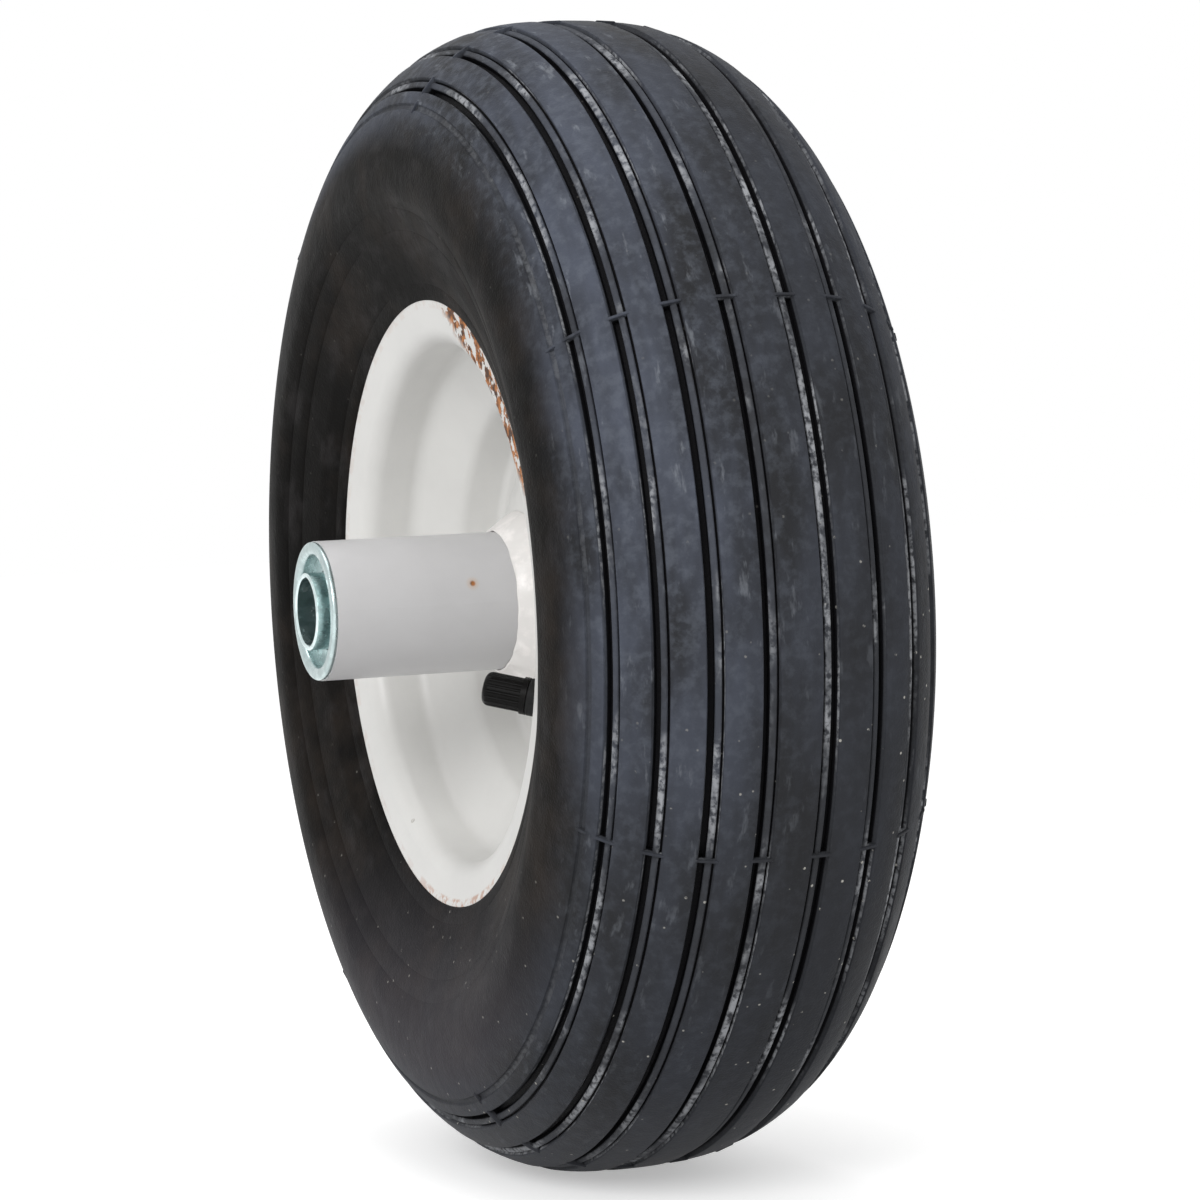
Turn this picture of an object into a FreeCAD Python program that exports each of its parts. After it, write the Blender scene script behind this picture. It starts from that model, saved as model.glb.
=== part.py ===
import FreeCAD, Part
import math
import os
import Sketcher
from FreeCAD import Vector

# Pneumatic wheelbarrow wheel: ribbed tyre and tube on a pressed rim with a long hub.
# The origin is the wheel's centre, the axle runs along Y and the valve's side faces -Y.
# A profile is drawn as distance from the axis against distance along it, then revolved.

# Driving sizes: millimetres, degrees and plain counts
SIZES = {
    # Tyre
    "tread_radius": 165.0,
    "tyre_half_width": 53.5,
    "widest_drop": 44.0,
    "crown_rise": 0.4,
    "tyre_wall": 7.0,
    "bead_wall": 10.5,
    "bead_easing": 0.3,
    "bead_gap": 0.1,
    "toe_rise": 3.0,
    "flank_start": 1.3,
    "groove_share_one": 0.152,
    "groove_share_two": 0.42,
    "groove_share_three": 0.652,
    "groove_share_four": 0.832,
    "line_share": 0.905,
    "groove_top": 4.4,
    "groove_floor": 2.0,
    "groove_depth": 3.0,
    "line_width": 2.0,
    "line_depth": 0.9,
    "cut_rise": 1.5,
    "seam_count": 7,
    "seam_angle": 0.34,
    "seam_turn": 27.6,
    "seam_rise": 0.7,
    "seam_margin": 0.3,
    # Inner tube
    "tube_gap": 0.3,
    "tube_wall": 1.6,
    "tube_rim_gap": 1.7,
    # Rim
    "sheet_gauge": 2.0,
    "seat_radius": 76.2,
    "lip_offset": 40.0,
    "lip_lean": 1.2,
    "flange_height": 10.6,
    "seat_width": 16.0,
    "seat_taper": 0.8,
    "wall_run": 9.4,
    "well_depth": 15.7,
    "land_drop": 3.7,
    "land_width": 5.8,
    "disc_offset": 18.0,
    "heel_bend": 8.0,
    "seat_bend": 6.0,
    "well_bend": 6.0,
    "land_bend": 3.0,
    "cone_bend": 8.0,
    # Hub
    "hub_length": 152.4,
    "hub_wall": 2.34,
    "hub_gap": 0.05,
    "weld_leg": 6.0,
    "weld_curve": 16.0,
    # Bearings
    "axle_bore": 19.2,
    "press_gap": 0.02,
    "ring_web": 0.75,
    "ring_groove": 0.6,
    "ring_reach": 2.0,
    "ring_setback": 0.7,
    "ring_chamfer": 0.4,
    "ball_diameter": 5.556,
    "ball_count": 12,
    "ball_inset": 6.6,
    "ball_gap": 0.1,
    "ball_room": 1.0,
    "cup_groove": 0.9,
    "cup_step": 0.7,
    "cup_wall": 1.54,
    "cup_floor": 1.2,
    "cup_floor_gap": 0.95,
    "cup_rounding": 1.0,
    "flange_inset": 0.2,
    "flange_thick": 1.5,
    "shield_thick": 0.5,
    "shield_room": 0.7,
    "shield_gap": 0.3,
    # Valve
    "valve_turn": -27.0,
    "stem_gap": 0.15,
    "stem_wall": 1.3,
    "stem_swell": 0.45,
    "stem_length": 17.0,
    "stem_collar": 0.6,
    "stem_taper": 1.9,
    "stem_round": 0.6,
    "foot_width": 1.5,
    "foot_thick": 1.3,
    "barrel_wall": 1.35,
    "barrel_reach": 10.5,
    "barrel_chamfer": 0.3,
    "part_gap": 0.05,
    "cap_gap": 0.15,
    "cap_wall": 0.75,
    "cap_room": 0.45,
    "cap_end": 1.6,
    "cap_collar": 0.45,
    "cap_collar_height": 1.6,
    "cap_round": 2.0,
    "flute_count": 18,
    "flute_depth": 0.35,
    "flute_radius": 0.45,
    "core_length": 12.0,
    "core_recess": 0.8,
    "core_wall": 1.2,
    "core_gap": 0.15,
    "core_floor": 1.4,
    "pin_radius": 0.55,
    "pin_inset": 0.2,
    "pin_collar": 0.55,
    "pin_collar_height": 0.7,
    "pin_collar_inset": 2.0,
    "pin_cup_gap": 0.6,
    "pin_cup_height": 1.4,
    "pin_tail": 3.0,
    "seal_thick": 0.9,
    "spring_wall": 0.35,
}


class Term:
    """A size with its value now and the expression that works it out from the sheet."""

    def __init__(self, value, text):
        self.value = float(value)
        self.text = text

    def __add__(self, other):
        other = term(other)
        return Term(self.value + other.value, f"({self.text} + {other.text})")

    def __sub__(self, other):
        other = term(other)
        return Term(self.value - other.value, f"({self.text} - {other.text})")

    def __mul__(self, other):
        other = term(other)
        return Term(self.value * other.value, f"({self.text} * {other.text})")

    def __truediv__(self, other):
        other = term(other)
        return Term(self.value / other.value, f"({self.text} / {other.text})")

    def __neg__(self):
        return Term(-self.value, f"(0 - {self.text})")

    def root(self):
        return Term(math.sqrt(self.value), f"sqrt({self.text})")


def term(value):
    """A plain number as a term, or the term itself."""
    if isinstance(value, Term):
        return value
    return Term(value, repr(float(value)))


def least(one, other):
    """The smaller of two terms."""
    return Term(min(one.value, other.value), f"min({one.text}; {other.text})")


doc = FreeCAD.newDocument("wheelbarrow_wheel")
sheet = doc.addObject("Spreadsheet::Sheet", "Sizes")
for row, (alias, number) in enumerate(SIZES.items(), start=1):
    sheet.set(f"A{row}", alias)
    sheet.set(f"B{row}", str(number))
    sheet.setAlias(f"B{row}", alias)
doc.recompute()


def size(alias):
    """The sheet's cell of that name as a term."""
    return Term(SIZES[alias], f"Sizes.{alias}")


# Sketching

class Corner:
    """A corner of an outline: its place, its rounding, and the curve of the edge after it."""

    def __init__(self, across, along, rounding=None, curve=None):
        self.across = term(across)
        self.along = term(along)
        self.rounding = None if rounding is None else term(rounding)
        self.curve = None if curve is None else term(curve)

    def point(self):
        return Vector(self.across.value, self.along.value, 0)


def bind(sketch, kind, *where, to):
    """Add a constraint whose datum follows a term."""
    index = sketch.addConstraint(Sketcher.Constraint(kind, *where, to.value))
    sketch.setExpression(f"Constraints[{index}]", to.text)


def end_at(sketch, edge, point):
    """Which end of the edge lies at the point: 1 for its start and 2 for its end."""
    first = sketch.getPoint(edge, 1).distanceToPoint(point)
    last = sketch.getPoint(edge, 2).distanceToPoint(point)
    return 1 if first < last else 2


def bowed(start, end, curve):
    """An arc between two points; a positive curve bows to the left of the way it goes."""
    chord = end - start
    radius = abs(curve)
    sagitta = radius - math.sqrt(radius ** 2 - (chord.Length / 2) ** 2)
    left = Vector(-chord.y, chord.x, 0).normalize()
    middle = (start + end) / 2 + left * math.copysign(sagitta, curve)
    return Part.Arc(start, middle, end)


def rounded(before, corner, after, radius):
    """The two ends and the middle of the arc that rounds a corner."""
    back = (before - corner).normalize()
    ahead = (after - corner).normalize()
    half = back.getAngle(ahead) / 2
    inward = (back + ahead).normalize()
    setback = radius / math.tan(half)
    middle = corner + inward * (radius / math.sin(half) - radius)
    return corner + back * setback, middle, corner + ahead * setback


def draw(sketch, corners, closed=True):
    """Draw the edges through the corners and bind each corner and radius to the sheet."""
    count = len(corners)
    points = [corner.point() for corner in corners]
    arrive = list(points)
    leave = list(points)
    chain = []
    for i, corner in enumerate(corners):
        if corner.rounding is not None:
            ends = rounded(points[i - 1], points[i], points[(i + 1) % count], corner.rounding.value)
            arrive[i], middle, leave[i] = ends
            chain.append((sketch.addGeometry(Part.Arc(*ends)), arrive[i], leave[i], i))
        if i == count - 1 and not closed:
            break
        start = leave[i]
        after = (i + 1) % count
        end = points[after]
        if corners[after].rounding is not None:
            beyond = points[(after + 1) % count]
            end = rounded(points[i], points[after], beyond, corners[after].rounding.value)[0]
        if corner.curve is None:
            shape = Part.LineSegment(start, end)
        else:
            shape = bowed(start, end, corner.curve.value)
        chain.append((sketch.addGeometry(shape), start, end, None))
        if corner.curve is not None:
            bind(sketch, "Radius", chain[-1][0], to=Term(abs(corner.curve.value), f"abs({corner.curve.text})"))
    join(sketch, chain, closed)
    pin(sketch, corners, chain)


def join(sketch, chain, closed):
    """Join each edge to the next, smoothly where one of them rounds a corner."""
    pairs = list(zip(chain, chain[1:]))
    if closed:
        pairs.append((chain[-1], chain[0]))
    for (edge, start, end, arc), (next_edge, next_start, next_end, next_arc) in pairs:
        smooth = arc is not None or next_arc is not None
        kind = "Tangent" if smooth else "Coincident"
        here = end_at(sketch, edge, end)
        there = end_at(sketch, next_edge, next_start)
        sketch.addConstraint(Sketcher.Constraint(kind, edge, here, next_edge, there))


def pin(sketch, corners, chain):
    """Tie the corners to their places and the roundings to their radii."""
    straight = [link for link in chain if link[3] is None]
    for i, corner in enumerate(corners):
        if corner.rounding is None:
            after = i < len(straight)
            edge, start, end, arc = straight[i] if after else straight[-1]
            where = (edge, end_at(sketch, edge, start if after else end))
        else:
            where = (sketch.addGeometry(Part.Point(corner.point()), True), 1)
            for link in (straight[i - 1], straight[i]):
                sketch.addConstraint(Sketcher.Constraint("PointOnObject", *where, link[0]))
            arc = [link for link in chain if link[3] == i][0]
            bind(sketch, "Radius", arc[0], to=corner.rounding)
        bind(sketch, "DistanceX", -1, 1, *where, to=corner.across)
        bind(sketch, "DistanceY", -1, 1, *where, to=corner.along)


def plane(body, role):
    """One of the body's own origin planes."""
    return [item for item in body.Origin.OriginFeatures if item.Role == role][0]


def new_body(label):
    body = doc.addObject("PartDesign::Body", label)
    body.Label = label
    return body


def new_sketch(body, name, role="XY_Plane"):
    sketch = body.newObject("Sketcher::SketchObject", name)
    sketch.AttachmentSupport = [(plane(body, role), "")]
    sketch.MapMode = "FlatFace"
    return sketch


def revolve(body, name, *outlines):
    """A turned solid about the body's own Y axis, hollow where outlines lie inside others."""
    sketch = new_sketch(body, f"{name}_profile")
    for outline in outlines:
        draw(sketch, outline)
    solid = body.newObject("PartDesign::Revolution", name)
    solid.Profile = sketch
    solid.ReferenceAxis = (sketch, ["V_Axis"])
    solid.Angle = 360
    doc.recompute()
    return solid


def turned(label, *outlines):
    """A body that is one revolved profile."""
    body = new_body(label)
    revolve(body, f"{label}_turn", *outlines)
    return body


# Rim places that the tyre shares, on the face that stays open to the air

seat_face = size("seat_radius") - size("sheet_gauge")
lip_radius = size("seat_radius") + size("flange_height")
heel_offset = size("lip_offset") - size("lip_lean")
flange_slope = size("lip_lean") / (lip_radius - seat_face)
seat_end = heel_offset - size("seat_width")
wall_top = seat_face - size("seat_taper")
well_radius = seat_face - size("well_depth")
well_offset = seat_end - size("wall_run")
land_outer = well_radius - size("land_drop")
land_inner = land_outer - size("land_width")

# Tyre: the crown, shoulder and flank are arcs that meet smoothly

half_width = size("tyre_half_width")
crown_height = size("widest_drop")
widest_radius = size("tread_radius") - crown_height
shoulder_curve = crown_height - size("crown_rise")
shoulder_along = half_width - shoulder_curve
crown_curve = (
    (crown_height * crown_height + half_width * half_width - half_width * shoulder_curve * 2)
    / ((crown_height - shoulder_curve) * 2)
)
crown_across = size("tread_radius") - crown_curve
reach = widest_radius - crown_across
bead_radius = size("seat_radius") + size("bead_gap")
bead_stand = size("sheet_gauge") + size("bead_gap")
bead_corner = size("heel_bend") - size("sheet_gauge") + size("bead_easing")
bead_toe = seat_end + size("bead_gap")
inner_foot_across = bead_radius + size("bead_wall")
inner_foot_along = bead_toe + size("toe_rise")


def behind(across):
    """How far along the bead's face lies, behind the flange."""
    stand = bead_stand * (flange_slope * flange_slope + 1).root()
    return heel_offset + (across - seat_face) * flange_slope - stand


def crown_end(depth):
    """Where the crown's arc meets the shoulder's, at a depth below the tread."""
    share = (crown_curve - depth) / (crown_curve - shoulder_curve)
    return crown_across + reach * share, shoulder_along * share


def flank_curve(start_across, start_along, end_across, end_along):
    """Radius of the arc from the widest point down to the foot, at most a quarter turn."""
    fall = start_across - end_across
    step = start_along - end_along
    return (fall * fall + step * step) / (least(fall, step) * 2)


def shell_side(depth, foot_across, foot_along):
    """Corners from the crown's end down one flank, at a depth below the outside."""
    across, along = crown_end(depth)
    widest = half_width - depth
    flank = flank_curve(widest_radius, widest, foot_across, foot_along)
    return [
        Corner(across, along, curve=-(shoulder_curve - depth)),
        Corner(widest_radius, widest, curve=-flank),
    ]


def flipped(corners):
    """The same corners on the other side of the wheel's plane, in reverse order."""
    other = []
    for i in range(len(corners) - 1, -1, -1):
        corner = corners[i]
        curve = corners[i - 1].curve if i > 0 else None
        other.append(Corner(corner.across, -corner.along, corner.rounding, curve))
    return other


def tread_place(offset, sideways, outward):
    """A place near the tread, from the point of its surface at that offset."""
    on_crown = offset.value < crown_end(term(0))[1].value
    if on_crown:
        centre_across, centre_along, curve = crown_across, term(0), crown_curve
    else:
        centre_across, centre_along, curve = widest_radius, shoulder_along, shoulder_curve
    sine = (offset - centre_along) / curve
    cosine = (term(1) - sine * sine).root()
    across = centre_across + (curve + outward) * cosine - sideways * sine
    along = centre_along + (curve + outward) * sine + sideways * cosine
    return across, along


def slot(offset, top, floor, depth, rise):
    """Outline of a groove across the tread, carried past the surface by a rise."""
    flare = (top - floor) / 2 / depth * rise
    wide = top / 2 + flare
    narrow = floor / 2
    corners = [(-wide, rise), (wide, rise), (narrow, -depth), (-narrow, -depth)]
    return [Corner(*tread_place(offset, sideways, outward)) for sideways, outward in corners]


def both_sides(outline):
    """The outline and its mirror image on the other side of the wheel's plane."""
    return [outline, flipped(outline)]


def tyre():
    """One moulded tyre: beads, round section, ribs between grooves and mould seam nibs."""
    body = new_body("tyre")
    foot_across = lip_radius + size("flank_start")
    foot_along = size("lip_offset")
    outside = shell_side(term(0), foot_across, foot_along) + [
        Corner(foot_across, foot_along),
        Corner(foot_across, behind(foot_across)),
        Corner(bead_radius, behind(bead_radius), rounding=bead_corner),
        Corner(bead_radius, bead_toe),
        Corner(inner_foot_across, inner_foot_along),
    ]
    inside = shell_side(size("tyre_wall"), inner_foot_across, inner_foot_along)
    back = inside_out(inside)
    outside[-1].curve = back.pop(0)
    half = outside + back
    outline = half + flipped(half)
    outline[len(half) - 1].curve = crown_curve - size("tyre_wall")
    outline[-1].curve = -crown_curve
    revolve(body, "carcass", outline)

    # Each groove keeps its share of the way from the middle of the tread to the tyre's side
    names = "one", "two", "three", "four"
    deep = [half_width * size(f"groove_share_{name}") for name in names]
    shape = size("groove_top"), size("groove_floor"), size("groove_depth")
    fine = size("line_width"), size("line_width") / 2, size("line_depth")
    cuts = new_sketch(body, "groove_profiles")
    for offset in deep:
        for outline in both_sides(slot(offset, *shape, size("cut_rise"))):
            draw(cuts, outline)
    for outline in both_sides(slot(half_width * size("line_share"), *fine, size("cut_rise"))):
        draw(cuts, outline)
    grooves = body.newObject("PartDesign::Groove", "grooves")
    grooves.Profile = cuts
    grooves.ReferenceAxis = (cuts, ["V_Axis"])
    grooves.Angle = 360
    doc.recompute()

    # Thin nibs bridge the grooves where the mould's segments met
    bars = new_sketch(body, "seam_profiles")
    margin = size("seam_margin")
    wider = size("groove_top") + margin * 2, size("groove_floor") + margin * 2
    for offset in deep:
        for outline in both_sides(slot(offset, *wider, size("groove_depth") + margin, size("seam_rise"))):
            draw(bars, outline)
    nib = body.newObject("PartDesign::Revolution", "seam_nib")
    nib.Profile = bars
    nib.ReferenceAxis = (bars, ["V_Axis"])
    nib.Midplane = True
    nib.setExpression("Angle", size("seam_angle").text)
    doc.recompute()
    seams = body.newObject("PartDesign::PolarPattern", "seams")
    seams.Originals = [nib]
    seams.Axis = (bars, ["V_Axis"])
    seams.Angle = 360
    seams.setExpression("Occurrences", size("seam_count").text)
    body.Tip = seams
    turn = f"rotation(vector(0; 1; 0); 0 - {size('seam_turn').text})"
    body.setExpression("Placement", f"placement(vector(0; 0; 0); {turn})")
    doc.recompute()
    return body


def inside_out(side):
    """The first curve, then the corners of a flank from its foot up to the crown."""
    crown, widest = side
    return [
        -widest.curve,
        Corner(widest.across, widest.along, curve=-crown.curve),
        Corner(crown.across, crown.along),
    ]


# Rim: two pressed halves meet back to back at a flat land below the well

bore_radius = size("axle_bore") / 2
ball_radius = size("ball_diameter") / 2
groove_radius = ball_radius + size("ball_gap")
pitch_radius = bore_radius + size("ring_web") + groove_radius
ring_radius = bore_radius + size("ring_web") + size("ring_groove")
cup_shoulder = pitch_radius + groove_radius - size("cup_groove")
shield_seat = cup_shoulder + size("cup_step")
sleeve_radius = shield_seat + size("cup_wall")
hub_bore = sleeve_radius + size("press_gap")
hub_radius = hub_bore + size("hub_wall")
disc_bore = hub_radius + size("hub_gap")
disc_fall = (size("disc_offset") - size("sheet_gauge")) / (land_inner - disc_bore)


def rim_half():
    """The half on the +Y side: the open face as a line, thickened towards the tyre."""
    line = doc.addObject("Sketcher::SketchObject", "rim_line")
    trim = size("sheet_gauge") * 2
    draw(line, [
        Corner(disc_bore - trim, size("disc_offset") + disc_fall * trim),
        Corner(land_inner, size("sheet_gauge"), rounding=size("cone_bend")),
        Corner(land_outer, size("sheet_gauge"), rounding=size("land_bend")),
        Corner(well_radius, well_offset, rounding=size("well_bend")),
        Corner(wall_top, seat_end, rounding=size("seat_bend")),
        Corner(seat_face, heel_offset, rounding=size("heel_bend")),
        Corner(lip_radius, size("lip_offset")),
    ], closed=False)
    doc.recompute()
    section = doc.addObject("Part::Offset2D", "rim_section")
    section.Source = line
    section.setExpression("Value", size("sheet_gauge").text)
    section.Mode = "Skin"
    section.Join = "Intersection"
    section.Fill = True
    doc.recompute()
    blank = doc.addObject("Part::Revolution", "rim_blank")
    blank.Source = section
    blank.Axis = Vector(0, 1, 0)
    blank.Base = Vector(0, 0, 0)
    blank.Angle = 360
    blank.Solid = True
    punch = doc.addObject("Part::Cylinder", "hub_punch")
    punch.setExpression("Radius", disc_bore.text)
    punch.setExpression("Height", (size("disc_offset") * 2).text)
    punch.setExpression("Placement", "placement(vector(0; 0; 0); rotation(vector(1; 0; 0); 0 - 90))")
    half = doc.addObject("Part::Cut", "rim_rear")
    half.Label = "rim_rear"
    half.Base = blank
    half.Tool = punch
    doc.recompute()
    return half


# The valve stands square on the sloping wall between the seat and the well
valve_across = (wall_top + well_radius) / 2
valve_along = (seat_end + well_offset) / 2
wall_fall = wall_top - well_radius
wall_step = size("wall_run")
pin_collar = size("pin_radius") + size("pin_collar")
core_bore = pin_collar + size("core_gap")
barrel_bore = core_bore + size("core_wall") + size("part_gap")
barrel_radius = barrel_bore + size("barrel_wall")
stem_radius = barrel_radius + size("part_gap") + size("stem_wall")
stem_neck = stem_radius + size("stem_swell")
VALVE_PLACE = (
    f"placement(vector({valve_across.text} * cos(Sizes.valve_turn); 0 - {valve_along.text};"
    f" {valve_across.text} * sin(Sizes.valve_turn));"
    f" rotation(vector(0; 1; 0); 0 - Sizes.valve_turn)"
    f" * rotation(vector(0; 0; 1); 180 deg - atan({wall_step.text} / {wall_fall.text})))"
)


def valve_drill(name, radius, length):
    """A cutter along the valve's axis that runs in past the sheet by its length."""
    drill = doc.addObject("Part::Cylinder", name)
    drill.setExpression("Radius", radius.text)
    drill.setExpression("Height", (length * 2).text)
    turn = "rotation(vector(1; 0; 0); 0 - 90)"
    shift = f"placement(vector(0; 0 - {length.text}; 0); {turn})"
    drill.setExpression("Placement", f"{VALVE_PLACE} * {shift}")
    doc.recompute()
    return drill


def rim_front(half):
    """The valve's side: the mirror image of the other half, with the valve's hole."""
    blank = doc.addObject("Part::Mirroring", "rim_front_blank")
    blank.Source = half
    blank.Normal = Vector(0, 1, 0)
    doc.recompute()
    front = doc.addObject("Part::Cut", "rim_front")
    front.Label = "rim_front"
    front.Base = blank
    front.Tool = valve_drill("valve_drill", stem_neck + size("stem_gap"), size("sheet_gauge") * 2)
    doc.recompute()
    return front


def inner_tube():
    """A hollow rubber ring that fills the tyre and lies near the rim's walls."""
    # The tube's side lies along the wall, a gap away from its face towards the tyre
    slant = (wall_fall * wall_fall + wall_step * wall_step).root()
    body = new_body("inner_tube")

    def loop(inset):
        stand = size("sheet_gauge") + size("tube_rim_gap") + inset
        shift_across = stand * wall_step / slant
        shift_along = stand * wall_fall / slant
        foot = inner_foot_across + inset, inner_foot_along - size("tube_gap") - inset
        half = shell_side(size("tyre_wall") + size("tube_gap") + inset, *foot) + [
            Corner(*foot),
            Corner(wall_top + shift_across, seat_end - shift_along),
            Corner(well_radius + shift_across, well_offset - shift_along),
        ]
        whole = half + flipped(half)
        whole[-1].curve = -(crown_curve - size("tyre_wall") - size("tube_gap") - inset)
        return whole

    solid = revolve(body, "bladder", loop(term(0)), loop(size("tube_wall")))
    body.Tip = solid
    return body


# Hub

def hub_tube():
    """A plain steel tube through both halves."""
    body = new_body("hub_tube")
    sketch = new_sketch(body, "hub_rings", "XZ_Plane")
    for radius in (hub_radius, hub_bore):
        ring = sketch.addGeometry(Part.Circle(Vector(0, 0, 0), Vector(0, 0, 1), radius.value))
        sketch.addConstraint(Sketcher.Constraint("Coincident", ring, 3, -1, 1))
        bind(sketch, "Radius", ring, to=radius)
    pad = body.newObject("PartDesign::Pad", "hub_pad")
    pad.Profile = sketch
    pad.SideType = "Symmetric"
    pad.setExpression("Length", size("hub_length").text)
    doc.recompute()
    return body


def turn_over(body, over):
    """Leave the body on the +Y side, or turn it over to the -Y side."""
    if over:
        body.Placement = FreeCAD.Placement(Vector(0, 0, 0), FreeCAD.Rotation(Vector(1, 0, 0), 180))
    return body


def hub_weld(side, over):
    """The fillet weld between a disc's open face and the tube, as a ring."""
    gap = size("press_gap")
    inner = hub_radius + gap
    outer = disc_bore + size("weld_leg")
    outline = [
        Corner(disc_bore, size("disc_offset") + gap),
        Corner(outer, size("disc_offset") + gap - disc_fall * size("weld_leg"), curve=size("weld_curve")),
        Corner(inner, size("disc_offset") + size("weld_leg")),
        Corner(inner, size("disc_offset") + gap),
    ]
    return turn_over(turned(f"hub_weld_{side}", outline), over)


# Bearings, drawn on the +Y side

hub_end = size("hub_length") / 2
flange_face = hub_end + size("flange_thick")
flange_radius = hub_radius - size("flange_inset")
ball_plane = hub_end - size("ball_inset")
cup_floor = ball_plane - groove_radius - size("ball_room")
cup_end = cup_floor - size("cup_floor")
shield_foot = ball_plane + groove_radius + size("shield_room")
shield_face = shield_foot + size("shield_thick")


def groove_half(shoulder):
    """Half the width of a ball groove where it opens at a shoulder's radius."""
    drop = shoulder - pitch_radius
    return (groove_radius * groove_radius - drop * drop).root()


def bearing_cup(side, over):
    """Flanged outer shell: it sits in the hub's end and carries the balls' outer groove."""
    half = groove_half(cup_shoulder)
    step = shield_foot - size("part_gap")
    floor_radius = ring_radius + size("cup_floor_gap")
    outline = [
        Corner(flange_radius, hub_end + size("press_gap")),
        Corner(flange_radius, flange_face),
        Corner(shield_seat + size("cup_rounding"), flange_face, curve=-size("cup_rounding")),
        Corner(shield_seat, flange_face - size("cup_rounding")),
        Corner(shield_seat, step),
        Corner(cup_shoulder, step),
        Corner(cup_shoulder, ball_plane + half, curve=groove_radius),
        Corner(cup_shoulder, ball_plane - half),
        Corner(cup_shoulder, cup_floor),
        Corner(floor_radius, cup_floor),
        Corner(floor_radius, cup_end),
        Corner(sleeve_radius, cup_end),
        Corner(sleeve_radius, hub_end + size("press_gap")),
    ]
    return turn_over(turned(f"bearing_cup_{side}", outline), over)


def bearing_ring(side, over):
    """Inner ring: the axle's bore, the balls' inner groove and an end that stands proud."""
    outer = ring_radius
    inner = bore_radius
    half = groove_half(outer)
    chamfer = size("ring_chamfer")
    top = flange_face + size("ring_reach")
    bottom = cup_end + size("ring_setback")
    outline = [
        Corner(inner, bottom),
        Corner(outer, bottom),
        Corner(outer, ball_plane - half, curve=groove_radius),
        Corner(outer, ball_plane + half),
        Corner(outer, top - chamfer),
        Corner(outer - chamfer, top),
        Corner(inner + chamfer, top),
        Corner(inner, top - chamfer),
    ]
    return turn_over(turned(f"bearing_ring_{side}", outline), over)


def bearing_shield(side, over):
    """Thin washer on the cup's step that closes the recess round the inner ring."""
    inner = ring_radius + size("shield_gap")
    outer = shield_seat - size("part_gap")
    outline = [
        Corner(inner, shield_foot),
        Corner(outer, shield_foot),
        Corner(outer, shield_face),
        Corner(inner, shield_face),
    ]
    return turn_over(turned(f"bearing_shield_{side}", outline), over)


def bearing_balls(side, over):
    """The loose balls, evenly spaced round the pitch circle."""
    balls = []
    sign = "0 - " if over else ""
    for index in range(int(SIZES["ball_count"])):
        ball = doc.addObject("Part::Sphere", f"ball_{side}_{index + 1}")
        ball.setExpression("Radius", ball_radius.text)
        angle = f"{index} * 360 / Sizes.ball_count"
        ball.setExpression("Placement.Base.x", f"{pitch_radius.text} * cos({angle})")
        ball.setExpression("Placement.Base.y", f"{sign}{ball_plane.text}")
        ball.setExpression("Placement.Base.z", f"{pitch_radius.text} * sin({angle})")
        balls.append(ball)
    group = doc.addObject("Part::Compound", f"bearing_balls_{side}")
    group.Label = f"bearing_balls_{side}"
    group.Links = balls
    doc.recompute()
    return group


# Valve, drawn along its own axis from the wall's open face

foot_top = -size("sheet_gauge") - size("stem_gap")
barrel_end = size("stem_length") + size("barrel_reach")
core_top = barrel_end - size("core_recess")
core_bottom = core_top - size("core_length")
collar_top = core_top - size("pin_collar_inset")
collar_bottom = collar_top - size("pin_collar_height")


def at_valve(body):
    """Stand a body on the rim's wall, along the valve's axis."""
    body.setExpression("Placement", VALVE_PLACE)
    doc.recompute()
    return body


def valve_stem():
    """Rubber stem with its foot between the rim and the tube."""
    bore = barrel_radius + size("part_gap")
    foot_radius = stem_neck + size("foot_width")
    foot_bottom = foot_top - size("foot_thick")
    outline = [
        Corner(bore, foot_bottom),
        Corner(foot_radius, foot_bottom),
        Corner(foot_radius, foot_top),
        Corner(stem_neck, foot_top),
        Corner(stem_neck, size("stem_collar")),
        Corner(stem_radius, size("stem_taper")),
        Corner(stem_radius, size("stem_length") - size("stem_round"), curve=-size("stem_round")),
        Corner(stem_radius - size("stem_round"), size("stem_length")),
        Corner(bore, size("stem_length")),
    ]
    return at_valve(turned("valve_stem", outline))


def valve_barrel():
    """Brass tube bonded in the stem; its free end takes the core and the cap."""
    outer = barrel_radius
    bore = barrel_bore
    bottom = foot_top - size("foot_thick")
    edge = size("barrel_chamfer")
    outline = [
        Corner(bore, bottom),
        Corner(outer, bottom),
        Corner(outer, barrel_end - edge),
        Corner(outer - edge, barrel_end),
        Corner(bore, barrel_end),
    ]
    return at_valve(turned("valve_barrel", outline))


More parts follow.
